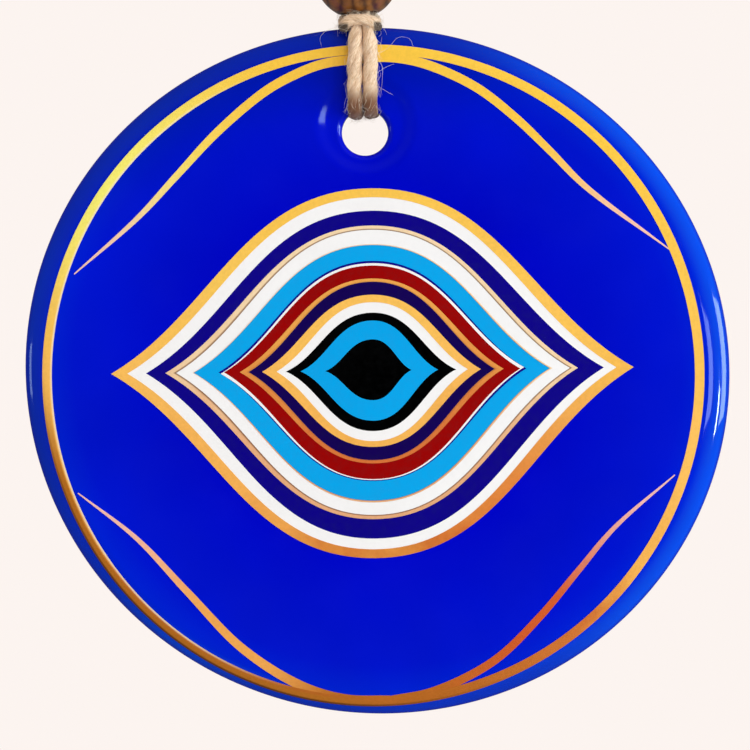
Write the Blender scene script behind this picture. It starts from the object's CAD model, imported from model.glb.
# The looks of a glass "evil eye" wall hanging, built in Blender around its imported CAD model.
# Lengths are millimetres until a mesh is made. Heights called "up" are above the disc's centre.
import random
from math import asin, cos, pi, radians, sin, sqrt

import bmesh
import bpy
import numpy as np
from mathutils import Matrix, Vector


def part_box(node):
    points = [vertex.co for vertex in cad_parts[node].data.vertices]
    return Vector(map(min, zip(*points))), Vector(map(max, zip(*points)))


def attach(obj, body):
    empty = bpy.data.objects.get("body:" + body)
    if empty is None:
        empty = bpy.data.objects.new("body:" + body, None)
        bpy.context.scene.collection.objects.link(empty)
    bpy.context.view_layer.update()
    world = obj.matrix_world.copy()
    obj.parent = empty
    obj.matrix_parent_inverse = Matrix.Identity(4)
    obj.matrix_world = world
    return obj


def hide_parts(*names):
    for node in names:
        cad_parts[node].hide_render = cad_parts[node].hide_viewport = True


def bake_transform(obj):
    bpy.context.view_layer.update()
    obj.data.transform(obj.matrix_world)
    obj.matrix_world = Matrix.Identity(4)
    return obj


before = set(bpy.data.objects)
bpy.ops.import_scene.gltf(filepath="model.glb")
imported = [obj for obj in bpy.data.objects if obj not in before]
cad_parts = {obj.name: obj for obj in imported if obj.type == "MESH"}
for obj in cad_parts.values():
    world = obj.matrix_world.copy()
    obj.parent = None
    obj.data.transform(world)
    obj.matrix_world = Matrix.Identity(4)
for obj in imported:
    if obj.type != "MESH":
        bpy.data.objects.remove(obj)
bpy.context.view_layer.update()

MM = 0.001
SCENE = bpy.context.scene

# ---- sizes taken from the frame ----

GLASS_LOW, GLASS_HIGH = (np.array(corner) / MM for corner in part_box("glass_disc"))
BEAD_LOW, BEAD_HIGH = (np.array(corner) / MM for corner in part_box("wooden_bead"))
KNOT_LOW, KNOT_HIGH = (np.array(corner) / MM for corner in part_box("stop_knot"))
CENTRE_Z = (GLASS_LOW[2] + GLASS_HIGH[2]) / 2
FRONT_Y = GLASS_LOW[1]
BACK_Y = GLASS_HIGH[1]
KNOT_UP = (KNOT_LOW[2] + KNOT_HIGH[2]) / 2 - CENTRE_Z
BEAD_UP = (BEAD_LOW[2] + BEAD_HIGH[2]) / 2 - CENTRE_Z
BEAD_RADIUS = (BEAD_HIGH[0] - BEAD_LOW[0]) / 2
BEAD_HALF_HEIGHT = (BEAD_HIGH[2] - BEAD_LOW[2]) / 2

# ---- sizes repeated from the CAD source ----

DISC_SEMI_LONG = 76.1
DISC_SEMI_SHORT = 73.9
DISC_LEAN = radians(16.25)
HOLE_UP = 51.45
HOLE_RADIUS = 5.0
RING_CENTRE = np.array([-0.9, -1.0])
RING_RADIUS = 70.25
RING_WIDTH = 2.05
STROKE_TIP_WIDTH = 0.25
EYE_CENTRE = np.array([-0.9, 0.1])
EYE_TURN = radians(-2.2)
LOOP_BEND_RADIUS = 6.6
CROWN_LEG = 7.0
CAD_CORD_RADIUS = 1.5
CORD_RADIUS = 1.65


# ---- camera ----

CAMERA_DISTANCE = 0.9
CAMERA_LENS = 200.7
CAMERA_AIM = np.array([-0.54, -0.90])  # from the disc's centre
CAMERA_ROLL = radians(2.95)  # the hanging is plumb and the camera was held at a slant


def make_camera():
    data = bpy.data.cameras.new("camera")
    data.lens = CAMERA_LENS
    data.sensor_width = 36
    data.clip_start = 0.05
    data.clip_end = 30
    camera = bpy.data.objects.new("camera", data)
    SCENE.collection.objects.link(camera)
    right = Vector((cos(CAMERA_ROLL), 0, -sin(CAMERA_ROLL)))
    top = Vector((sin(CAMERA_ROLL), 0, cos(CAMERA_ROLL)))
    back = Vector((0, -1, 0))
    turn = Matrix((right, top, back)).transposed()
    camera.rotation_euler = turn.to_euler()
    x, z = CAMERA_AIM * MM
    camera.location = (x, FRONT_Y * MM - CAMERA_DISTANCE, CENTRE_Z * MM + z)
    SCENE.camera = camera


make_camera()


# ---- mesh helpers ----

def make_piece(name, points, faces, sharp=None, attributes=None):
    """A mesh object from points in millimetres. attributes maps a name to one value or vector a point."""
    mesh = bpy.data.meshes.new(name)
    mesh.from_pydata((np.asarray(points) * MM).tolist(), [], [tuple(f) for f in faces])
    shell = bmesh.new()
    shell.from_mesh(mesh)
    bmesh.ops.recalc_face_normals(shell, faces=shell.faces)
    shell.to_mesh(mesh)
    shell.free()
    mesh.shade_smooth()
    if sharp:
        mesh.set_sharp_from_angle(angle=radians(sharp))
    for key, values in (attributes or {}).items():
        values = np.asarray(values, np.float32)
        vector = values.ndim == 2
        layer = mesh.attributes.new(key, "FLOAT_VECTOR" if vector else "FLOAT", "POINT")
        layer.data.foreach_set("vector" if vector else "value", values.ravel())
    piece = bpy.data.objects.new(name, mesh)
    SCENE.collection.objects.link(piece)
    return piece


def grid_faces(rows, columns, wrap_rows=False, wrap_columns=False, start=0):
    """Quads between rows of points; each row has as many points as there are columns."""
    faces = []
    for r in range(rows if wrap_rows else rows - 1):
        near = start + r * columns
        far = start + ((r + 1) % rows) * columns
        for c in range(columns if wrap_columns else columns - 1):
            d = (c + 1) % columns
            faces.append((near + c, near + d, far + d, far + c))
    return faces


def end_faces(rows, columns, start=0):
    """The two faces that close a tube whose rows of points run round it."""
    last = start + (rows - 1) * columns
    return [tuple(range(first, first + columns)) for first in (start, last)]


def angles(count):
    return np.linspace(0, 2 * pi, count, endpoint=False)


def smoothstep(low, high, value):
    t = np.clip((value - low) / (high - low), 0, 1)
    return t * t * (3 - 2 * t)


def cubic(a, b, c, d, t):
    s = 1 - t
    return s * s * s * a + 3 * s * s * t * b + 3 * s * t * t * c + t * t * t * d


# ---- rope ----

PLIES = 3
PLY_OUT = 0.33  # of the cord's radius: how far each ply's middle is from the cord's
PLY_RADIUS = 0.68
PLY_SIDES = 28
PLY_PITCH = 15.5
ROPE_STEP = 0.35
FIBRE_LENGTHS = (1.2, 3.6)
FIBRE_LIFTS = (0.25, 0.9)


def run_lengths(line):
    return np.concatenate([[0], np.cumsum(np.linalg.norm(np.diff(line, axis=0), axis=1))])


def smooth_route(route, step=ROPE_STEP):
    """Points a step apart on the centripetal Catmull-Rom curve through a route's points."""
    p = np.array(route, float)
    p = np.vstack([2 * p[0] - p[1], p, 2 * p[-1] - p[-2]])
    dense = []
    for i in range(1, len(p) - 2):
        knots = [0.0]
        for a, b in zip(p[i - 1:i + 2], p[i:i + 3]):
            knots.append(knots[-1] + max(np.linalg.norm(b - a), 1e-6) ** 0.5)
        t = np.linspace(knots[1], knots[2], 24, endpoint=False)[:, None]

        def between(a, b, low, high):
            return a * (high - t) / (high - low) + b * (t - low) / (high - low)

        a1 = between(p[i - 1], p[i], knots[0], knots[1])
        a2 = between(p[i], p[i + 1], knots[1], knots[2])
        a3 = between(p[i + 1], p[i + 2], knots[2], knots[3])
        b1 = between(a1, a2, knots[0], knots[2])
        b2 = between(a2, a3, knots[1], knots[3])
        dense.append(between(b1, b2, knots[1], knots[2]))
    dense = np.vstack([*dense, p[-2]])
    run = run_lengths(dense)
    count = max(2, round(run[-1] / step) + 1)
    even = np.linspace(0, run[-1], count)
    return np.stack([np.interp(even, run, dense[:, k]) for k in range(3)], axis=1)


def unit(vectors):
    return vectors / np.linalg.norm(vectors, axis=-1, keepdims=True)


def carried_frames(line):
    """Tangents and two side directions along a line, carried without twist."""
    tangents = unit(np.gradient(line, axis=0))
    side = np.cross(tangents[0], [0.31, 0.87, 0.38])
    sides = []
    for tangent in tangents:
        side = side - tangent * (side @ tangent)
        side = side / np.linalg.norm(side)
        sides.append(side)
    sides = np.array(sides)
    return tangents, sides, np.cross(tangents, sides)


def fibre_relief(angle, run, seed):
    """Fine ridges of fibre bundles round a ply, in shares of its radius."""
    relief = np.zeros(np.broadcast(angle, run).shape)
    for ridges, twist, size in ((3, 0.55, 0.03), (5, -0.8, 0.03), (8, 1.1, 0.026), (11, -0.6, 0.022)):
        relief = relief + size * np.sin(ridges * angle + twist * run + 2.1 * seed + ridges)
    slow = 0.035 * np.sin(0.9 * run + 3 * seed) + 0.02 * np.sin(2.3 * run + seed)
    return relief + slow


def rope_parts(line, scale=None, seed=0, part=None):
    """Points, faces and fibre coordinates of a twisted rope. part is a (first, last) run of the line's
    points, so that pieces cut from one line meet with their plies in line."""
    tangents, sides, ups = carried_frames(line)
    run = run_lengths(line)
    scale = np.ones(len(line)) if scale is None else scale
    first, last = part or (0, len(line) - 1)
    cut = slice(first, last + 1)
    angle = angles(PLY_SIDES)[None, :]
    points, faces, fibre = [], [], []
    for ply in range(PLIES):
        turn = 2 * pi * (run / PLY_PITCH + ply / PLIES)
        out = np.cos(turn)[:, None] * sides + np.sin(turn)[:, None] * ups
        middle = line + out * (PLY_OUT * CORD_RADIUS * scale)[:, None]
        along = unit(np.gradient(middle, axis=0))
        across = unit(np.cross(along, out))
        outward = np.cross(across, along)
        relief = fibre_relief(angle, run[:, None], seed + ply)
        size = PLY_RADIUS * CORD_RADIUS * scale[:, None] * (1 + relief)
        ring = (
            middle[:, None, :]
            + (size * np.cos(angle))[..., None] * outward[:, None, :]
            + (size * np.sin(angle))[..., None] * across[:, None, :]
        )[cut]
        rows = len(ring)
        start = sum(len(p) for p in points)
        points.append(ring.reshape(-1, 3))
        faces += grid_faces(rows, PLY_SIDES, wrap_columns=True, start=start)
        faces += end_faces(rows, PLY_SIDES, start)
        around = np.broadcast_to(angle, (rows, PLY_SIDES))
        lengthways = np.broadcast_to(run[cut][:, None], (rows, PLY_SIDES)) + 37.0 * (ply + 3 * seed)
        fibre.append(np.stack([np.cos(around), np.sin(around), lengthways], axis=-1).reshape(-1, 3))
    return np.vstack(points), faces, np.vstack(fibre)


def make_rope(name, line, **options):
    points, faces, fibre = rope_parts(line, **options)
    return make_piece(name, points, faces, attributes={"fibre": fibre})


def hair_tube(points, thickness):
    """A three-sided tube along a few points, thin at its far end."""
    line = np.array(points, float)
    _, sides, ups = carried_frames(line)
    taper = thickness * np.linspace(1, 0.45, len(line))
    rings = []
    for k in range(3):
        a = 2 * pi * k / 3
        rings.append(line + taper[:, None] * (cos(a) * sides + sin(a) * ups))
    return np.stack(rings, axis=1).reshape(-1, 3)


def make_fuzz(name, hairs, thickness=0.035):
    """Many loose fibres as one piece. hairs is a list of point lists."""
    points, faces = [], []
    start = 0
    for hair in hairs:
        tube = hair_tube(hair, thickness)
        rows = len(tube) // 3
        faces += grid_faces(rows, 3, wrap_columns=True, start=start)
        faces += end_faces(rows, 3, start)
        points.append(tube)
        start += len(tube)
    return make_piece(name, np.vstack(points), faces)


def loose_fibres(line, count, seed, scale=None, part=None):
    """Short fibres that lift off a rope, each leaving its surface at a low angle and curling back."""
    draw = random.Random(seed)
    tangents, sides, ups = carried_frames(line)
    first, last = part or (0, len(line) - 1)
    hairs = []
    for _ in range(count):
        i = draw.randint(first + 2, last - 2)
        a = draw.uniform(0, 2 * pi)
        size = CORD_RADIUS * (1 if scale is None else scale[i])
        out = cos(a) * sides[i] + sin(a) * ups[i]
        around = np.cross(tangents[i], out)
        direction = draw.choice((-1, 1))
        run = draw.uniform(*FIBRE_LENGTHS)
        lift = draw.uniform(*FIBRE_LIFTS)
        lean = draw.uniform(-0.7, 0.7)
        hair = []
        for k in range(6):
            t = k / 5
            rise = 0.9 * size + lift * sin(pi * min(t * 1.15, 1) * 0.6)
            slide = direction * run * t
            hair.append(line[i] + out * rise + tangents[i] * slide + around * lean * run * t * t)
        hairs.append(hair)
    return hairs


# ---- cords ----

def at_height(route):
    """A route given as (x, y, up), as (x, y, z) points."""
    return [(x, y, CENTRE_Z + up) for x, y, up in route]


def mirrored(route):
    return [(-x, y, up) for x, y, up in route]


# From inside the stop knot down through the bead, over the glass's edge and down the front to the hole:
# half the space between the two strands, how far both lean to the right, y and the height.
FRONT_STRANDS = [
    (0.9, 0, 0, KNOT_UP - 1.5),
    (1.2, 0, 0, KNOT_UP - 4.0),
    (1.6, 0, 0, KNOT_UP - 6.5),
    (1.65, 0, 0, 88),
    (1.6, 0, -0.1, 82.5),
    (1.35, 0.05, -0.8, 79.3),
    (1.15, 0.2, -1.6, 77.3),
    (1.12, 0.35, -2.9, 75.8),
    (1.2, 0.5, -4.1, 73.9),
    (1.45, 0.5, -4.8, 71.6),
    (1.62, 0.35, -4.9, 68),
    (1.65, 0.05, -4.9, 63),
    (1.65, -0.15, -5.0, 58.6),
    (1.65, -0.22, -4.85, 56.5),
    (1.6, -0.26, -3.6, 55.3),
    (1.6, -0.26, -1.8, 54.85),
]
# On from the hole up the back, over the edge beside the front strands, to the bight that crosses them.
BACK_STRAND = [
    (1.6, 1.8, 54.85),
    (1.65, 3.6, 55.3),
    (1.65, 4.85, 56.5),
    (1.65, 5.1, 58.6),
    (1.65, 4.9, 64),
    (1.8, 4.85, 69.0),
    (2.4, 4.6, 72.4),
    (3.0, 3.5, 75.0),
    (3.35, 1.6, 76.1),
]
BIGHT_RIGHT = [
    (3.55, -0.6, 75.3),
    (3.7, -2.7, 74.2),
    (3.5, -4.1, 74.1),
    (2.9, -5.1, 74.8),
    (1.6, -5.5, 75.3),
]
BIGHT_LEFT = [
    (-1.3, -5.5, 75.6),
    (-2.6, -5.1, 75.2),
    (-3.15, -4.1, 74.4),
    (-3.35, -2.7, 74.3),
    (-3.25, -0.6, 75.3),
]
HITCH_SQUEEZE = 0.25  # share of its thickness that the cord loses where the hitch grips
HITCH_UP = (73.3, 77.6)
PRESS_UP = 56.9
PRESS = 0.40


def front_strand(side):
    return [(side * apart + lean, y, up) for apart, lean, y, up in FRONT_STRANDS]


def sling_route():
    return [
        *front_strand(1),
        *BACK_STRAND,
        *BIGHT_RIGHT,
        (0.2, -5.6, 75.5),
        *BIGHT_LEFT,
        *mirrored(BACK_STRAND)[::-1],
        *front_strand(-1)[::-1],
    ]


def squeezed(line):
    """How thick the sling is along its line: thinner where the hitch is pulled tight."""
    up = line[:, 2] - CENTRE_Z
    near_low = smoothstep(HITCH_UP[0] - 3.0, HITCH_UP[0] + 0.6, up)
    near_high = 1 - smoothstep(HITCH_UP[1] - 0.4, HITCH_UP[1] + 3.5, up)
    return 1 - HITCH_SQUEEZE * near_low * near_high


def pressed(points):
    """Flattens what lies low in the hole up against the hole's upper wall, as the disc's weight does."""
    points = np.array(points, float)
    deep = np.maximum(0, PRESS_UP - (points[..., 2] - CENTRE_Z))
    points[..., 2] += PRESS * deep ** 2 / (deep + 0.8)
    return points


def make_sling():
    line = smooth_route(at_height(sling_route()))
    scale = squeezed(line)
    points, faces, fibre = rope_parts(line, scale=scale, seed=1)
    sling = make_piece("sling_cord", pressed(points), faces, attributes={"fibre": fibre})
    fuzz_hairs = [pressed(hair) for hair in loose_fibres(line, 900, seed=11, scale=scale)]
    line = pressed(line)
    stray = [smooth_route(at_height(hair), 0.6) for hair in STRAY_FIBRES]
    fuzz = make_fuzz("sling_fuzz", fuzz_hairs, thickness=0.03)
    strays = make_fuzz("sling_stray_fibres", stray, thickness=0.04)
    return sling, fuzz, strays, line


# Long fibres that have come away from the front strands and lie just off the glass.
STRAY_FIBRES = [
    [(-2.6, -5.3, 73.2), (-5.2, -4.6, 74.0), (-7.4, -4.2, 73.4), (-8.6, -4.0, 72.1), (-8.4, -3.8, 70.3)],
    [(3.0, -5.2, 67.9), (5.2, -4.4, 68.7), (6.9, -4.2, 70.2), (7.9, -4.1, 71.2), (9.4, -4.0, 71.4),
     (10.8, -3.9, 70.7), (11.2, -3.8, 69.4)],
    [(2.9, -5.4, 63.6), (3.9, -5.0, 64.3), (5.4, -4.6, 65.1), (7.0, -4.3, 65.7)],
    [(3.2, -5.8, 67.2), (4.4, -5.3, 65.2), (4.3, -5.0, 62.6), (4.0, -4.8, 60.4), (3.6, -4.7, 58.6)],
    [(2.8, -5.6, 61.2), (4.8, -4.9, 60.0), (6.4, -4.5, 59.0)],
    [(2.9, -5.2, 71.2), (4.3, -4.7, 70.2), (4.6, -4.5, 68.4)],
]

# The hanging loop above the knot, on one line so that its three pieces meet with their plies in line.
NECK_UP = KNOT_UP + 2.0
BEND_UP = -CENTRE_Z + CAD_CORD_RADIUS - LOOP_BEND_RADIUS
CROWN_FOOT_UP = BEND_UP - CROWN_LEG
LOOP_LEG = [
    (0.9, 0, NECK_UP),
    (1.3, 0, NECK_UP + 3.2),
    (1.7, 0, NECK_UP + 6.5),
    (3.0, 0, NECK_UP + 13.0),
    (5.2, 0, NECK_UP + 21.5),
    (6.4, 0, NECK_UP + 30.0),
    (LOOP_BEND_RADIUS, 0, CROWN_FOOT_UP),
    (LOOP_BEND_RADIUS, 0, CROWN_FOOT_UP + CROWN_LEG / 2),
]


def loop_route():
    bend = []
    steps = 8
    for i in range(steps + 1):
        a = pi * i / steps
        bend.append((LOOP_BEND_RADIUS * cos(a), 0, BEND_UP + LOOP_BEND_RADIUS * sin(a)))
    return [*LOOP_LEG, *bend, *mirrored(LOOP_LEG)[::-1]]


def make_loop():
    """The crown and both legs, cut from one rope, and the points each one follows."""
    line = smooth_route(at_height(loop_route()))
    up = line[:, 2] - CENTRE_Z
    in_crown = np.flatnonzero(up >= CROWN_FOOT_UP)
    first, last = int(in_crown[0]), int(in_crown[-1])
    parts = {
        "loop_leg_right": (0, first),
        "loop_crown": (first, last),
        "loop_leg_left": (last, len(line) - 1),
    }
    made = {}
    for index, (name, part) in enumerate(parts.items()):
        rope = make_rope(name, line, part=part, seed=2)
        hairs = loose_fibres(line, 3 * (part[1] - part[0]), seed=21 + index, part=part)
        fuzz = make_fuzz(name + "_fuzz", hairs)
        made[name] = (rope, fuzz, line[part[0]:part[1] + 1])
    return made


# The stop knot is a barrel of turns round the neck, with one end leaving it on each side.
WRAP_TURNS = 3.25
WRAP_RISE = 3.5
WRAP_SEMI_X = 3.95
WRAP_SEMI_Y = 3.15
WRAP_SCALE = 0.92
FRAY_COUNT = 46
FRAY_LENGTH = 4.2


def knot_route():
    """From the right-hand cut end in to the barrel's top, down its turns, and up inside to the left end."""
    route = [
        (13.4, -3.5, KNOT_UP + 0.4),
        (11.0, -3.1, KNOT_UP + 2.3),
        (8.2, -3.1, KNOT_UP + 3.6),
    ]
    turns = 40
    for i in range(turns + 1):
        t = i / turns
        a = -0.25 * pi - 2 * pi * WRAP_TURNS * t
        bulge = 1 + 0.10 * sin(pi * t)
        x = WRAP_SEMI_X * bulge * cos(a)
        y = WRAP_SEMI_Y * bulge * sin(a)
        route.append((x, y, KNOT_UP + WRAP_RISE * (1 - 2 * t)))
    route += [
        (-6.6, -1.9, KNOT_UP - 3.0),
        (-9.4, -2.6, KNOT_UP - 2.4),
        (-12.2, -3.2, KNOT_UP - 3.4),
        (-13.6, -3.6, KNOT_UP - 5.0),
    ]
    return route


def frayed_end(at, towards, seed):
    """Loose fibres that fan out of a cut end."""
    draw = random.Random(seed)
    towards = unit(np.array(towards, float))
    side = unit(np.cross(towards, [0, 0.6, 0.8]))
    other = np.cross(towards, side)
    hairs = []
    for _ in range(FRAY_COUNT):
        a = draw.uniform(0, 2 * pi)
        r = CORD_RADIUS * 0.75 * sqrt(draw.random())
        fan = draw.uniform(0.05, 0.4)
        out = cos(a) * side + sin(a) * other
        run = FRAY_LENGTH * draw.uniform(0.3, 0.75)
        start = np.array(at) - towards * 1.2 + out * r
        droop = draw.uniform(0, 0.12)
        hairs.append([
            start + towards * (run * t) + out * (fan * run * t * t) + np.array([0, 0, -droop * run * t * t])
            for t in np.linspace(0, 1, 6)
        ])
    return hairs


def make_knot():
    line = smooth_route(at_height(knot_route()))
    scale = np.full(len(line), WRAP_SCALE)
    knot = make_rope("stop_knot_turns", line, scale=scale, seed=3)
    hairs = loose_fibres(line, 420, seed=31, scale=scale)
    hairs += frayed_end(line[0], line[0] - line[6], seed=32)
    hairs += frayed_end(line[-1], line[-1] - line[-7], seed=33)
    fuzz = make_fuzz("stop_knot_fuzz", hairs)
    return knot, fuzz, line


SLING, SLING_FUZZ, SLING_STRAYS, SLING_LINE = make_sling()
LOOP = make_loop()
KNOT, KNOT_FUZZ, KNOT_LINE = make_knot()


# ---- glass disc ----

SHOULDER_RUN = 5.6  # how far in from the edge the front begins to round over
SHOULDER_DROP = 2.7
BACK_SHOULDER_RUN = 2.6
BACK_SHOULDER_DROP = 2.1
DIMPLE_CENTRE = np.array([0.3, HOLE_UP + 1.7])
DIMPLE_DEPTH = 0.55
DIMPLE_RADII = (7.4, 11.6)
DIMPLE_REACH = 13.5  # radius, from the hole, of the fine rows that carry the dimple
FRONT_SINK = 0.06  # how far the glass stays behind the CAD's front face
HOLE_LIP = 1.2
EDGE_STEPS = 480
MEAN_RADIUS = (DISC_SEMI_LONG + DISC_SEMI_SHORT) / 2
LONG_AXIS = np.array([cos(DISC_LEAN), -sin(DISC_LEAN)])
SHORT_AXIS = np.array([sin(DISC_LEAN), cos(DISC_LEAN)])


def edge_share(x, z):
    """0 at the disc's centre and 1 at its edge, for x and z from the centre."""
    u = x * LONG_AXIS[0] + z * LONG_AXIS[1]
    v = x * SHORT_AXIS[0] + z * SHORT_AXIS[1]
    return np.hypot(u / DISC_SEMI_LONG, v / DISC_SEMI_SHORT)


def front_surface(x, z):
    """The y of the front face at x and z from the disc's centre."""
    inward = (1 - edge_share(x, z)) * MEAN_RADIUS
    s = np.clip(1 - inward / SHOULDER_RUN, 0, 1)
    drop = SHOULDER_DROP * (1 - np.sqrt(1 - s * s))
    from_dimple = np.hypot(x - DIMPLE_CENTRE[0], z - DIMPLE_CENTRE[1])
    dimple = DIMPLE_DEPTH * (1 - smoothstep(*DIMPLE_RADII, from_dimple))
    wave = 0.045 * np.sin(x / 8.5 + 0.8) * np.sin(z / 11.0 + 0.4)
    wave = wave + 0.03 * np.sin((x + z) / 5.3) * np.sin((x - 0.7 * z) / 7.1 + 1.0)
    return FRONT_Y + drop + dimple + FRONT_SINK + wave


def glass_rows():
    """Rows of the glass's surface from the middle of the hole's wall, over the front and round the back."""
    t = angles(EDGE_STEPS)
    edge = np.outer(DISC_SEMI_LONG * np.cos(t), LONG_AXIS)
    edge = edge + np.outer(DISC_SEMI_SHORT * np.sin(t), SHORT_AXIS)
    edge = edge * (1 + 0.0006 * np.sin(3 * t + 1) + 0.0005 * np.sin(5 * t))[:, None]
    hole = np.array([0.0, HOLE_UP])
    out = unit(edge - hole)
    dimple_end = hole + DIMPLE_REACH * out
    rows = []

    def row(xz, y):
        rows.append(np.column_stack([xz[:, 0], np.broadcast_to(y, len(xz)), CENTRE_Z + xz[:, 1]]))

    def front(xz):
        row(xz, front_surface(xz[:, 0], xz[:, 1]))

    def hole_edge(face_y, side):
        """The eased lip between the hole's wall and a face."""
        for a in np.linspace(0, pi / 2, 8)[1:-1]:
            xz = hole + (HOLE_RADIUS + HOLE_LIP * (1 - cos(a))) * out
            yield xz, face_y + side * HOLE_LIP * (1 - sin(a))

    lip_top = front_surface(*(hole + (HOLE_RADIUS + HOLE_LIP) * out).T)
    row(hole + HOLE_RADIUS * out, 0.0)
    row(hole + HOLE_RADIUS * out, lip_top + HOLE_LIP)
    for xz, y in hole_edge(lip_top, 1):
        row(xz, y)
    for r in np.linspace(HOLE_RADIUS + HOLE_LIP, DIMPLE_REACH, 26):
        front(hole + r * out)
    shoulder_start = edge * (1 - SHOULDER_RUN / MEAN_RADIUS)
    for s in np.linspace(0, 1, 26)[1:-1]:
        front(dimple_end + s * (shoulder_start - dimple_end))
    for a in np.linspace(0, pi / 2, 22):
        inward = SHOULDER_RUN * (1 - sin(a))
        front(edge * (1 - inward / MEAN_RADIUS))
    back_start = BACK_Y - BACK_SHOULDER_DROP
    for a in np.linspace(0, pi / 2, 10):
        inward = BACK_SHOULDER_RUN * (1 - cos(a))
        row(edge * (1 - inward / MEAN_RADIUS), back_start + BACK_SHOULDER_DROP * sin(a))
    back_inner = edge * (1 - BACK_SHOULDER_RUN / MEAN_RADIUS)
    back_hole = hole + (HOLE_RADIUS + HOLE_LIP) * out
    for s in np.linspace(0, 1, 18)[1:]:
        row(back_inner + s * (back_hole - back_inner), BACK_Y)
    for xz, y in reversed(list(hole_edge(BACK_Y, -1))):
        row(xz, y)
    row(hole + HOLE_RADIUS * out, BACK_Y - HOLE_LIP)
    return rows


def make_glass():
    rows = glass_rows()
    points = np.vstack(rows)
    share = edge_share(points[:, 0], points[:, 2] - CENTRE_Z)
    faces = grid_faces(len(rows), EDGE_STEPS, wrap_rows=True, wrap_columns=True)
    return make_piece("cobalt_glass_disc", points, faces, attributes={"rim": share})


# ---- fired print ----

QUARTER_STEPS = 40
RING_STEPS = 420
ENAMEL_THICK = 0.06
GOLD_THICK = 0.09
STROKE_DROP = 0.012  # how much lower the strokes are than the ring that they run into
BURIED = 0.02  # how far a layer's underside is sunk in the glass, so that no gap shows


def eye_quarter(half, rise, lift):
    t = np.linspace(0, 1, QUARTER_STEPS, endpoint=False)
    return np.column_stack([
        cubic(half, 0.61 * half, 0.49 * half, 0, t),
        cubic(0, lift * rise, rise, rise, t),
    ])


def eye_outline(left, right, top, bottom, lift=0.32, turn=0.0):
    def to_corner(half, rise):
        return np.vstack([[0, rise], eye_quarter(half, rise, lift)[:0:-1]])

    ring = np.vstack([
        eye_quarter(right, top, lift),
        to_corner(left, top) * [-1, 1],
        eye_quarter(left, bottom, lift) * [-1, -1],
        to_corner(right, bottom) * [1, -1],
    ])
    a = EYE_TURN + radians(turn)
    turned = np.array([[cos(a), sin(a)], [-sin(a), cos(a)]])
    return EYE_CENTRE + ring @ turned


# The layers from the outside in, each with its finish, how far its outline reaches to the left, right, top
# and bottom, and what else shapes it. Each one fills the space as far as the next one's outline.
EYE_LAYERS = [
    ("eye_gold_outline", "gold_lustre", (56.4, 56.1, 39.2, 40.4), {}),
    ("eye_white_outer", "white_enamel", (52.9, 52.4, 37.3, 38.5), {}),
    ("eye_navy_outer", "navy_enamel", (48.9, 49.7, 34.4, 36.2), {}),
    ("eye_copper_line", "copper_lustre", (44.7, 44.1, 31.2, 32.0), {}),
    ("eye_white_middle", "white_enamel", (42.4, 42.4, 30.3, 31.1), {}),
    ("eye_copper_hairline", "copper_lustre", (38.8, 38.6, 27.2, 28.4), {}),
    ("eye_turquoise_outer", "turquoise_enamel", (38.6, 38.0, 27.0, 28.0), {}),
    ("eye_navy_hairline", "navy_enamel", (33.3, 33.0, 23.6, 23.8), {}),
    ("eye_white_hairline", "white_enamel", (32.8, 32.5, 23.1, 23.6), {"turn": 0.5}),
    ("eye_red", "red_enamel", (32.1, 31.7, 22.6, 23.4), {}),
    ("eye_orange_gold_line", "copper_lustre", (28.7, 28.1, 19.8, 20.0), {}),
    ("eye_dark_navy", "dark_navy_enamel", (26.8, 26.2, 19.1, 19.3), {}),
    ("eye_gold_inner", "gold_lustre", (23.9, 23.2, 16.3, 16.45), {}),
    ("eye_white_inner", "white_enamel", (20.8, 20.4, 14.7, 15.2), {}),
    ("eye_black_line", "black_enamel", (18.8, 17.9, 12.45, 13.05), {"lift": 0.25}),
    ("eye_turquoise_iris", "turquoise_enamel", (15.6, 14, 10.75, 10.8), {"lift": 0.25}),
    ("eye_pupil", "black_enamel", (10.3, 8.3, 6.7, 6.4), {"lift": 0.22}),
]

# The border's four strokes, from the ring's top or bottom to a point: each one's width, and the points
# that it runs through.
STROKES = [
    (2.05, [(3.5, 67.4), (-8, 66.6), (-14.8, 64.4), (-21.3, 61.1), (-31.6, 53.2), (-41, 44.1), (-49.7, 35.6),
            (-64.1, 24.1)]),
    (2.05, [(-1, 67.4), (6.3, 67.2), (13.4, 65.5), (24, 60.1), (32.4, 53), (39.7, 45.2), (46.7, 37.4),
            (64.2, 22.8)]),
    (2.05, [(-0.9, -71), (-10.6, -70.2), (-19.8, -66.9), (-32.1, -58.2), (-43.4, -45.3), (-53.6, -33.4),
            (-65.7, -23)]),
    (1.85, [(-0.9, -71), (8.7, -69.5), (21.8, -63.7), (32, -54.9), (41, -45.2), (49.2, -36.4),
            (62.8, -25.7)]),
]


def on_glass(xz, height):
    """Points at x and z from the disc's centre, a height above its front face."""
    return np.column_stack([xz[:, 0], front_surface(xz[:, 0], xz[:, 1]) - height, CENTRE_Z + xz[:, 1]])


def band(lines, thick, wrap):
    """A raised band of colour. lines are its lines of points from one side to the other; the band's
    section is closed by two buried lines, and its ends are capped unless it wraps round."""
    rows = [on_glass(lines[0], -BURIED)]
    rows += [on_glass(line, thick) for line in lines]
    rows.append(on_glass(lines[-1], -BURIED))
    columns = len(lines[0])
    faces = grid_faces(len(rows), columns, wrap_rows=True, wrap_columns=wrap)
    if not wrap:
        for column in (0, columns - 1):
            faces.append(tuple(r * columns + column for r in range(len(rows))))
    share = np.linspace(0, 1, len(lines))
    across = np.repeat([0, *share, 1], columns)
    return np.vstack(rows), faces, across


def between_outlines(outer, inner, count):
    return [outer + (inner - outer) * s for s in np.linspace(0, 1, count)]


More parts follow.
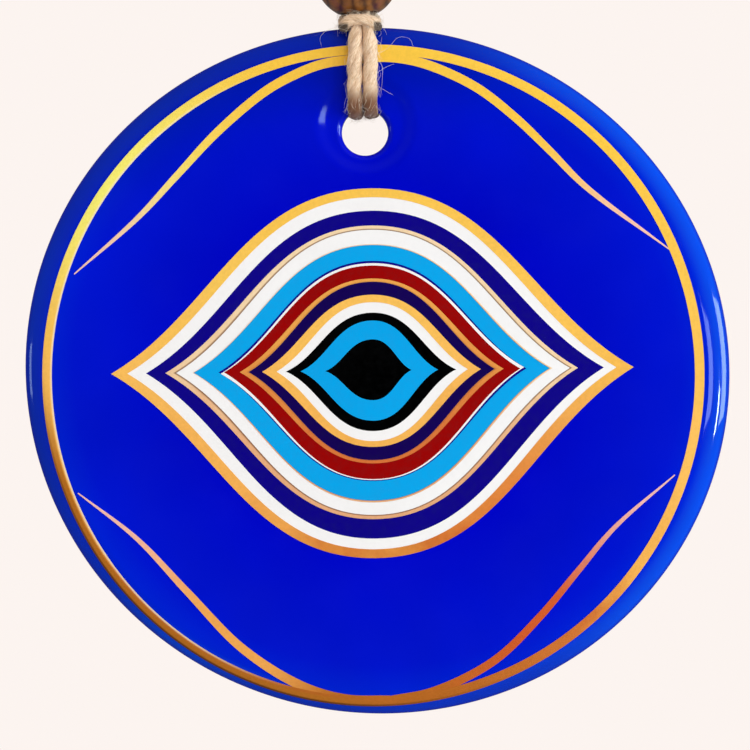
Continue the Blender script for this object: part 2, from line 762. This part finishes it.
def patch(outline, thick):
    """A raised patch of colour that fills an outline."""
    lines = between_outlines(outline, EYE_CENTRE + (outline - EYE_CENTRE) * 0.05, 9)
    rows = [on_glass(outline, -BURIED)]
    rows += [on_glass(line, thick) for line in lines]
    columns = len(outline)
    faces = grid_faces(len(rows), columns, wrap_columns=True)
    faces += end_faces(len(rows), columns)
    return np.vstack(rows), faces, np.repeat([0, *np.linspace(0, 1, len(lines))], columns)


def make_eye_layer(index):
    name, finish, reach, shape = EYE_LAYERS[index]
    outer = eye_outline(*reach, **shape)
    thick = GOLD_THICK if "lustre" in finish else ENAMEL_THICK
    if index + 1 < len(EYE_LAYERS):
        _, _, reach, shape = EYE_LAYERS[index + 1]
        inner = eye_outline(*reach, **shape)
        points, faces, across = band(between_outlines(outer, inner, 5), thick, wrap=True)
    else:
        points, faces, across = patch(outer, thick)
    piece = make_piece("print_" + name[4:], points, faces, sharp=35, attributes={"across": across})
    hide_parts(name)
    return piece, finish


def ring_lines(count):
    a = angles(RING_STEPS)
    circle = np.column_stack([np.cos(a), np.sin(a)])
    radii = np.linspace(RING_RADIUS + RING_WIDTH / 2, RING_RADIUS - RING_WIDTH / 2, count)
    return [RING_CENTRE + r * circle for r in radii]


def stroke_lines(width, through, count):
    line = smooth_route([(x, 0, z) for x, z in through], 0.8)[:, [0, 2]]
    t = np.linspace(0, 1, len(line))
    along = unit(np.gradient(line, axis=0))
    side = np.column_stack([-along[:, 1], along[:, 0]])
    half = 0.5 * (STROKE_TIP_WIDTH + (width - STROKE_TIP_WIDTH) * (1 - t ** 2.5))[:, None]
    return [line + side * half * s for s in np.linspace(1, -1, count)], t


def make_border():
    points, faces, across = band(ring_lines(7), GOLD_THICK, wrap=True)
    points, faces, across = [points], list(faces), [across]
    tips = [np.full(len(points[0]), -1.0)]
    start = len(points[0])
    for width, through in STROKES:
        lines, t = stroke_lines(width, through, 5)
        more, more_faces, more_across = band(lines, GOLD_THICK - STROKE_DROP, wrap=False)
        faces += [tuple(start + k for k in face) for face in more_faces]
        points.append(more)
        across.append(more_across)
        tips.append(np.tile(t, len(lines) + 2))
        start += len(more)
    return make_piece(
        "print_border", np.vstack(points), faces, sharp=35,
        attributes={"across": np.concatenate(across), "tip": np.concatenate(tips)},
    )


# ---- bead ----

BEAD_BORE = 3.95
BEAD_LIP = 0.5
BEAD_SIDES = 96


def bead_profile():
    """(radius, height) points round the section of the bead, from the bore's bottom up its outside."""
    lip_radius = BEAD_BORE + BEAD_LIP
    start = asin(lip_radius / BEAD_RADIUS)
    outside = []
    for a in np.linspace(start, pi - start, 40):
        r = BEAD_RADIUS * sin(a)
        h = -BEAD_RADIUS * cos(a)
        outside.append((r, h * BEAD_HALF_HEIGHT / (BEAD_RADIUS * cos(start))))
    lip = []
    for a in np.linspace(0, pi / 2, 7)[1:]:
        lip.append((lip_radius - BEAD_LIP * sin(a), BEAD_HALF_HEIGHT - BEAD_LIP * (1 - cos(a))))
    wall_half = BEAD_HALF_HEIGHT - BEAD_LIP
    wall = [(BEAD_BORE, h) for h in np.linspace(wall_half, -wall_half, 10)]
    lower_lip = [(r, -h) for r, h in lip[::-1]]
    return [*outside, *lip, *wall[1:-1], *lower_lip]


def make_bead():
    profile = bead_profile()
    a = angles(BEAD_SIDES)
    rows = []
    for r, h in profile:
        wobble = 1 + 0.006 * np.sin(2 * a + 0.5) + 0.004 * np.sin(5 * a + h / 2)
        rows.append(np.column_stack([
            r * wobble * np.cos(a),
            r * wobble * np.sin(a),
            np.full(BEAD_SIDES, CENTRE_Z + BEAD_UP + h),
        ]))
    faces = grid_faces(len(rows), BEAD_SIDES, wrap_rows=True, wrap_columns=True)
    return make_piece("wood_bead", np.vstack(rows), faces)


# ---- materials ----

def feed(tree, socket, value):
    if isinstance(value, bpy.types.NodeSocket):
        tree.links.new(value, socket)
    else:
        socket.default_value = value


def put(tree, kind, sockets=None, **settings):
    """Adds a node, with its settings, and fills its sockets with values or with other nodes' outputs."""
    node = tree.nodes.new("ShaderNode" + kind)
    for key, value in settings.items():
        setattr(node, key, value)
    for key, value in (sockets or {}).items():
        feed(tree, node.inputs[key], value)
    return node


def wire(tree, body, **sockets):
    """Fills a shader's sockets; an underscore in a name stands for a space."""
    for key, value in sockets.items():
        feed(tree, body.inputs[key.replace("_", " ")], value)


def ramp(tree, factor, stops):
    node = put(tree, "ValToRGB", {"Fac": factor})
    elements = node.color_ramp.elements
    while len(elements) < len(stops):
        elements.new(0.5)
    for element, (position, colour) in zip(elements, stops):
        element.position = position
        element.color = (*colour, 1)
    return node.outputs["Color"]


def grey(level):
    return (level, level, level)


def mix(tree, factor, a, b, kind="MIX"):
    node = tree.nodes.new("ShaderNodeMix")
    node.data_type = "RGBA"
    node.blend_type = kind
    for index, value in ((0, factor), (6, a), (7, b)):
        feed(tree, node.inputs[index], (*value, 1) if isinstance(value, tuple) else value)
    return node.outputs[2]


def calc(tree, operation, *values):
    node = put(tree, "Math", operation=operation)
    for socket, value in zip(node.inputs, values):
        feed(tree, socket, value)
    return node.outputs[0]


def spread(tree, value, low, high, to_low=0.0, to_high=1.0, smooth=True):
    node = put(tree, "MapRange", {
        "Value": value, "From Min": low, "From Max": high, "To Min": to_low, "To Max": to_high,
    })
    node.interpolation_type = "SMOOTHSTEP" if smooth else "LINEAR"
    return node.outputs[0]


def product(tree, *factors):
    whole = factors[0]
    for factor in factors[1:]:
        whole = calc(tree, "MULTIPLY", whole, factor)
    return whole


def rising(tree, axes, low, high, to_low=0.0, to_high=1.0):
    """A mask that changes between two heights above the disc's centre."""
    return spread(tree, axes["Z"], (CENTRE_Z + low) * MM, (CENTRE_Z + high) * MM, to_low, to_high)


def attribute_of(tree, name):
    return put(tree, "Attribute", attribute_name=name).outputs["Fac"]


def noise(tree, vector, scale, detail=3.0, roughness=0.5):
    sockets = {"Vector": vector, "Scale": scale, "Detail": detail, "Roughness": roughness}
    return put(tree, "TexNoise", sockets).outputs["Fac"]


def bump(tree, height, strength, distance, normal=None):
    sockets = {"Height": height, "Strength": strength, "Distance": distance}
    if normal is not None:
        sockets["Normal"] = normal
    return put(tree, "Bump", sockets).outputs[0]


def new_finish(name, **shader):
    """A material, its node tree, its shader node and the object's own coordinates."""
    material = bpy.data.materials.new(name)
    material.use_nodes = True
    tree = material.node_tree
    body = tree.nodes["Principled BSDF"]
    wire(tree, body, **shader)
    place = put(tree, "TexCoord").outputs["Object"]
    return material, tree, body, place


def glass_finish():
    material, tree, body, place = new_finish("cobalt_glass", IOR=1.45, Specular_IOR_Level=0.45)
    rim = attribute_of(tree, "rim")
    drift = noise(tree, place, 28, 2.0)
    fine = noise(tree, place, 90, 3.0)
    depth = ramp(tree, rim, [
        (0.0, (0.0, 0.0005, 0.47)),
        (0.5, (0.0, 0.001, 0.47)),
        (0.86, (0.0, 0.006, 0.53)),
        (0.94, (0.0, 0.014, 0.55)),
        (0.968, (0.0, 0.046, 0.56)),
        (0.990, (0.0, 0.058, 0.59)),
        (1.0, (0.0, 0.012, 0.34)),
    ])
    axes = put(tree, "SeparateXYZ", {"Vector": place}).outputs
    high = rising(tree, axes, 20, 66)
    leftward = spread(tree, axes["X"], 0.058, 0.010)
    far_out = spread(tree, rim, 0.72, 0.94)
    depth = mix(tree, product(tree, high, leftward, far_out, 0.85), depth, (0.0, 0.007, 0.31))
    leftmost = spread(tree, axes["X"], -0.040, -0.066, 0.0, 0.65)
    depth = mix(tree, product(tree, leftmost, spread(tree, rim, 0.92, 0.965)), depth, (0.0, 0.003, 0.34))
    low = rising(tree, axes, -50, -72, 0.0, 0.6)
    depth = mix(tree, product(tree, low, spread(tree, rim, 0.95, 0.98)), depth, (0.002, 0.010, 0.36))
    cloud = ramp(tree, drift, [(0.3, grey(0.90)), (0.7, grey(1.04))])
    wire(tree, body, Base_Color=mix(tree, 1.0, depth, cloud, "MULTIPLY"))
    wire(tree, body, Roughness=spread(tree, fine, 0.3, 0.75, 0.035, 0.09))
    swell = noise(tree, place, 60, 1.0)
    seeds = put(tree, "TexVoronoi", {"Vector": place, "Scale": 260.0})
    pits = spread(tree, seeds.outputs["Distance"], 0.0, 0.10, 1.0, 0.0)
    soft = bump(tree, swell, 0.25, 0.0004)
    wire(tree, body, Normal=bump(tree, pits, 0.05, 0.00005, soft))
    return material


def enamel_finish(name, colour, shade, roughness=0.16):
    """A fired enamel colour: slightly uneven in tone and thickness, with a glassy skin."""
    material, tree, body, place = new_finish(name, IOR=1.45, Specular_IOR_Level=0.25)
    mottle = noise(tree, place, 700, 4.0, 0.6)
    cloud = noise(tree, place, 60, 2.0)
    toned = mix(tree, spread(tree, mottle, 0.35, 0.75, 0.0, 0.35), colour, shade)
    toned = mix(tree, spread(tree, cloud, 0.4, 0.75, 0.0, 0.3), toned, shade)
    rough = spread(tree, mottle, 0.3, 0.8, roughness, roughness + 0.12)
    wire(tree, body, Base_Color=toned, Roughness=rough, Normal=bump(tree, mottle, 0.12, 0.00003))
    return material


def lustre_base(name, metallic, roughness):
    """The parts of a fired metal film that don't depend on its tone: its sheen and its fine grain."""
    material, tree, body, place = new_finish(name, Metallic=metallic, IOR=1.45, Specular_IOR_Level=0.3)
    grain = noise(tree, place, 1500, 3.0, 0.6)
    rough = spread(tree, grain, 0.2, 0.8, roughness, roughness + 0.14)
    wire(tree, body, Roughness=rough, Normal=bump(tree, grain, 0.10, 0.00003))
    axes = put(tree, "SeparateXYZ", {"Vector": place}).outputs
    low = spread(tree, axes["Z"], (CENTRE_Z + 72) * MM, (CENTRE_Z - 72) * MM, smooth=False)
    low = calc(tree, "SUBTRACT", low, spread(tree, axes["X"], 0.015, 0.06, 0.0, 0.16))
    streak = noise(tree, place, 120, 3.0)
    drift = calc(tree, "ADD", low, spread(tree, streak, 0.2, 0.8, -0.05, 0.05))
    speck = ramp(tree, grain, [(0.25, grey(0.90)), (0.7, grey(1.0))])
    return material, tree, body, axes, drift, speck


def gold_finish():
    """Fired gold: yellow at the upper left, orange-brown low down, red-brown and rosy where it is thin."""
    material, tree, body, axes, drift, speck = lustre_base("gold_lustre", 0.12, 0.38)
    tone = ramp(tree, drift, GOLD_STOPS)
    leftward = spread(tree, axes["X"], -0.018, -0.058)
    tone = mix(tree, product(tree, leftward, rising(tree, axes, 8, 42)), tone, (1.0, 0.86, 0.16))
    across = attribute_of(tree, "across")
    tip = attribute_of(tree, "tip")
    on_ring = spread(tree, tip, -0.6, -0.4, 1.0, 0.0)
    low_left = spread(tree, calc(tree, "ADD", axes["Z"], axes["X"]), -0.222, -0.246)
    middle = spread(tree, across, 0.80, 0.60)
    tone = mix(tree, product(tree, on_ring, low_left, middle), tone, (0.50, 0.15, 0.006))
    low = rising(tree, axes, 10, -45, 0.0, 0.85)
    leftward = spread(tree, axes["X"], 0.035, -0.02)
    outer_edge = spread(tree, across, 0.3, 0.1)
    tone = mix(tree, product(tree, low, leftward, on_ring, outer_edge), tone, (0.07, 0.016, 0.0))
    left_side = spread(tree, axes["X"], -0.020, -0.050)
    inner_edge = spread(tree, across, 0.74, 0.92)
    tone = mix(tree, product(tree, on_ring, left_side, inner_edge, 0.8), tone, (1.0, 0.78, 0.50))
    on_stroke = spread(tree, tip, -0.1, 0.0)
    right_half = spread(tree, axes["X"], 0.005, 0.03)
    tone = mix(tree, product(tree, right_half, low, on_stroke), tone, (0.68, 0.085, 0.012))
    left_half = spread(tree, axes["X"], -0.010, -0.03)
    tone = mix(tree, product(tree, left_half, low, on_stroke), tone, (0.98, 0.42, 0.085))
    tone = mix(tree, spread(tree, tip, 0.52, 0.97, 0.0, 0.85), tone, (0.94, 0.52, 0.48))
    wire(tree, body, Base_Color=mix(tree, 1.0, tone, speck, "MULTIPLY"))
    return material


def copper_finish(name, stops, inner_edge):
    """A thin printed line of copper-gold, paler at the top, with a brown inner edge."""
    material, tree, body, axes, drift, speck = lustre_base(name, 0.12, 0.4)
    across = attribute_of(tree, "across")
    edge = spread(tree, across, 0.62, 0.92, 0.0, inner_edge)
    tone = mix(tree, edge, ramp(tree, drift, stops), (0.16, 0.045, 0.012))
    wire(tree, body, Base_Color=mix(tree, 1.0, tone, speck, "MULTIPLY"))
    return material


def jute_finish(name, soiled=False):
    """Jute: fine straw-coloured fibres along the plies, some pale and some brown, matt and hairy."""
    material, tree, body, place = new_finish(
        name, Roughness=0.85, Specular_IOR_Level=0.25,
        Sheen_Weight=0.25, Sheen_Roughness=0.5, Sheen_Tint=(1.0, 0.9, 0.75, 1),
    )
    fibre = put(tree, "Attribute", attribute_name="fibre").outputs["Vector"]
    thread = put(tree, "Mapping", {"Vector": fibre, "Scale": (3.2, 3.2, 0.55)}).outputs[0]
    coarse = put(tree, "Mapping", {"Vector": fibre, "Scale": (1.1, 1.1, 0.22)}).outputs[0]
    strands = noise(tree, thread, 2.2, 5.0, 0.65)
    bundles = noise(tree, coarse, 1.6, 2.0)
    tone = ramp(tree, strands, [
        (0.22, (0.30, 0.145, 0.068)),
        (0.40, (0.66, 0.41, 0.235)),
        (0.54, (0.88, 0.61, 0.40)),
        (0.76, (1.0, 0.84, 0.66)),
    ])
    tone = mix(tree, spread(tree, bundles, 0.4, 0.7, 0.0, 0.30), tone, (0.50, 0.32, 0.18))
    if soiled:
        axes = put(tree, "SeparateXYZ", {"Vector": place}).outputs
        wobble = calc(tree, "MULTIPLY", strands, 0.0025)
        height = calc(tree, "SUBTRACT", axes["Z"], wobble)
        low = spread(tree, height, (CENTRE_Z + 60.6) * MM, (CENTRE_Z + 56.0) * MM, 0.0, 0.95)
        tone = mix(tree, low, tone, (0.17, 0.06, 0.025))
        at_edge = spread(tree, axes["Y"], -0.0068, -0.0059)
        below_bar = rising(tree, axes, 75.2, 74.4, 0.0, 0.92)
        aside = calc(tree, "ABSOLUTE", calc(tree, "SUBTRACT", axes["X"], 0.0003))
        outside = spread(tree, aside, 0.0025, 0.0030)
        hidden = product(tree, below_bar, rising(tree, axes, 71.6, 73.0), at_edge, outside)
        tone = mix(tree, hidden, tone, (0.03, 0.016, 0.010))
    wire(tree, body, Base_Color=tone, Normal=bump(tree, strands, 0.65, 0.00022))
    return material


def hair_finish():
    material, tree, body, place = new_finish(
        "jute_fibre", Roughness=0.6, Specular_IOR_Level=0.4, Sheen_Weight=0.3,
    )
    tone = ramp(tree, noise(tree, place, 300, 2.0), [
        (0.3, (0.62, 0.44, 0.27)),
        (0.7, (0.88, 0.76, 0.60)),
    ])
    wire(tree, body, Base_Color=tone)
    return material


def wood_finish():
    material, tree, body, place = new_finish("bead_wood", IOR=1.5, Coat_Weight=0.5, Coat_Roughness=0.12)
    stretched = put(tree, "Mapping", {"Vector": place, "Scale": (1.0, 1.0, 0.18)}).outputs[0]
    rings = put(tree, "TexWave", {
        "Vector": stretched, "Scale": 130.0, "Distortion": 5.0, "Detail": 3.0, "Detail Scale": 2.0,
    })
    pores = noise(tree, stretched, 1400, 4.0, 0.6)
    tone = ramp(tree, rings.outputs["Fac"], [
        (0.0, (0.27, 0.090, 0.012)),
        (0.6, (0.19, 0.060, 0.009)),
        (1.0, (0.085, 0.024, 0.005)),
    ])
    tone = mix(tree, spread(tree, pores, 0.5, 0.75, 0.0, 0.6), tone, (0.07, 0.022, 0.007))
    rough = spread(tree, pores, 0.3, 0.8, 0.3, 0.5)
    wire(tree, body, Base_Color=tone, Roughness=rough, Normal=bump(tree, pores, 0.2, 0.0001))
    return material


GOLD_STOPS = [
    (0.0, (1.0, 0.57, 0.050)),
    (0.3, (1.0, 0.54, 0.075)),
    (0.5, (1.0, 0.50, 0.095)),
    (0.66, (0.94, 0.42, 0.070)),
    (0.80, (0.66, 0.165, 0.022)),
    (1.0, (0.50, 0.130, 0.007)),
]
COPPER_STOPS = [
    (0.0, (0.96, 0.68, 0.40)),
    (0.4, (0.95, 0.66, 0.38)),
    (0.6, (0.84, 0.42, 0.20)),
    (1.0, (0.78, 0.34, 0.15)),
]
ORANGE_STOPS = [
    (0.0, (0.90, 0.40, 0.075)),
    (0.45, (0.87, 0.35, 0.061)),
    (0.60, (0.72, 0.17, 0.030)),
    (1.0, (0.66, 0.12, 0.024)),
]

FINISHES = {
    "cobalt_glass": glass_finish(),
    "gold_lustre": gold_finish(),
    "copper_lustre": copper_finish("copper_lustre", COPPER_STOPS, 0.8),
    "white_enamel": enamel_finish("white_enamel", (0.85, 0.79, 0.75), (0.79, 0.735, 0.695)),
    "navy_enamel": enamel_finish("navy_enamel", (0.003, 0.0, 0.20), (0.002, 0.0, 0.15)),
    "dark_navy_enamel": enamel_finish("dark_navy_enamel", (0.006, 0.0, 0.075), (0.004, 0.0, 0.055)),
    "turquoise_enamel": enamel_finish("turquoise_enamel", (0.0, 0.325, 0.68), (0.0, 0.29, 0.63)),
    "red_enamel": enamel_finish("red_enamel", (0.29, 0.0, 0.0), (0.22, 0.0, 0.0)),
    "black_enamel": enamel_finish("black_enamel", (0.0, 0.0, 0.0), (0.002, 0.002, 0.002), 0.12),
    "bead_wood": wood_finish(),
    "jute": jute_finish("jute"),
}
ORANGE_LUSTRE = copper_finish("orange_lustre", ORANGE_STOPS, 0.3)
SOILED_JUTE = jute_finish("jute_soiled", soiled=True)
FIBRE = hair_finish()


def finish_piece(piece, slot, material=None):
    piece.data.materials.append(material or FINISHES[slot])


# ---- assembly ----


def place_cords():
    finish_piece(SLING, "jute", SOILED_JUTE)
    finish_piece(SLING_FUZZ, "jute", FIBRE)
    finish_piece(SLING_STRAYS, "jute", FIBRE)
    for piece in (SLING, SLING_FUZZ):
        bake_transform(piece)
    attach(SLING_STRAYS, "sling")
    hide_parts("cord_front_left", "cord_front_right", "cord_hitch")
    replaced = {
        "loop_crown": "cord_crown",
        "loop_leg_right": "cord_loop_right",
        "loop_leg_left": "cord_loop_left",
    }
    for name, (rope, fuzz, line) in LOOP.items():
        finish_piece(rope, "jute")
        finish_piece(fuzz, "jute", FIBRE)
        for piece in (rope, fuzz):
            if name == "loop_crown":
                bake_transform(piece)
            else:
                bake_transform(piece)
        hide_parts(replaced[name])
    finish_piece(KNOT, "jute")
    finish_piece(KNOT_FUZZ, "jute", FIBRE)
    for piece in (KNOT, KNOT_FUZZ):
        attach(piece, "knot")
    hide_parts("stop_knot", "cord_tail_left", "cord_tail_right")


def place_disc():
    glass = make_glass()
    finish_piece(glass, "cobalt_glass")
    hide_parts("glass_disc")
    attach(glass, "disc")
    border = make_border()
    finish_piece(border, "gold_lustre")
    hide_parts("border_gold")
    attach(border, "disc")
    for index in range(len(EYE_LAYERS)):
        piece, finish = make_eye_layer(index)
        orange = EYE_LAYERS[index][0] == "eye_orange_gold_line"
        finish_piece(piece, finish, ORANGE_LUSTRE if orange else None)
        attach(piece, "disc")


def place_bead():
    bead = make_bead()
    finish_piece(bead, "bead_wood")
    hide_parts("wooden_bead")
    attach(bead, "bead")


place_cords()
place_disc()
place_bead()


# ---- floor, world and lights ----

FLOOR_DROP = 1.0
FLOOR_HALF = 6.0


def make_floor():
    half, height = FLOOR_HALF / MM, -FLOOR_DROP / MM
    corners = [(-half, -half, height), (half, -half, height), (half, half, height), (-half, half, height)]
    floor = make_piece("floor", corners, [(0, 1, 2, 3)])
    material, tree, body, place = new_finish("floor_pale", Roughness=0.9, Specular_IOR_Level=0.2)
    tone = ramp(tree, noise(tree, place, 3, 4.0), [(0.3, (0.80, 0.77, 0.74)), (0.7, (0.84, 0.81, 0.785))])
    wire(tree, body, Base_Color=tone)
    floor.data.materials.append(material)
    floor.visible_glossy = False


def make_world():
    """Soft light from all round, a dim surround for reflections, and a pale backdrop."""
    world = bpy.data.worlds.new("studio")
    world.use_nodes = True
    tree = world.node_tree
    tree.nodes.clear()
    direction = put(tree, "TexCoord").outputs["Generated"]
    axes = put(tree, "SeparateXYZ", {"Vector": direction}).outputs
    height = spread(tree, axes["Z"], -0.7, 0.8, 0.55, 0.74, smooth=False)
    side = spread(tree, axes["X"], -0.9, 0.9, 0.90, 1.06, smooth=False)
    facing = calc(tree, "MULTIPLY", axes["Y"], -1.0)
    dim = spread(tree, facing, cos(radians(30)), cos(radians(14)), 0.16, 0.01)

    def glow(colour, strength):
        return put(tree, "Background", {"Color": (*colour, 1), "Strength": strength}).outputs[0]

    soft = glow((1.0, 0.970, 0.955), product(tree, height, side))
    mirrored_room = glow((0.75, 0.88, 1.0), dim)
    backdrop = glow((0.975, 0.905, 0.87), 1.0)
    ray = put(tree, "LightPath").outputs
    light = put(tree, "MixShader", {"Fac": ray["Is Glossy Ray"], 1: soft, 2: mirrored_room}).outputs[0]
    seen = put(tree, "MixShader", {"Fac": ray["Is Camera Ray"], 1: light, 2: backdrop}).outputs[0]
    put(tree, "OutputWorld", {"Surface": seen})
    SCENE.world = world


def softbox(name, azimuth, elevation, distance, width, height, power, colour=(1, 1, 1), mirrored=True):
    """A light that faces the disc. Azimuth 0 is straight in front of it and 90 to its right."""
    data = bpy.data.lights.new(name, "AREA")
    data.shape = "RECTANGLE"
    data.size = width
    data.size_y = height
    data.energy = power
    data.color = colour
    light = bpy.data.objects.new(name, data)
    a, e = radians(azimuth), radians(elevation)
    towards = Vector((sin(a) * cos(e), -cos(a) * cos(e), sin(e)))
    light.location = Vector((0, 0, CENTRE_Z * MM)) + towards * distance
    light.rotation_euler = towards.to_track_quat("Z", "Y").to_euler()
    light.visible_camera = False
    light.visible_glossy = mirrored
    SCENE.collection.objects.link(light)


WINDOW_BLUE = (0.60, 0.83, 1.0)


def make_lights():
    softbox("key", 30, 42, 2.0, 1.4, 1.4, 14.3, mirrored=False)
    softbox("right_window", 70, 0, 1.1, 0.52, 0.38, 8.0, WINDOW_BLUE)
    softbox("right_pane", 47, -7, 1.1, 0.08, 0.11, 1.6, WINDOW_BLUE)
    softbox("right_strip", 23, 0, 1.1, 0.18, 0.15, 0.6, WINDOW_BLUE)
    softbox("left_strip", -20, -5, 1.1, 0.06, 0.08, 0.06, WINDOW_BLUE)
    softbox("left_fill", -68, 2, 1.2, 0.25, 0.20, 0.9, WINDOW_BLUE)


make_floor()
make_world()
make_lights()
SCENE.view_settings.view_transform = "Standard"
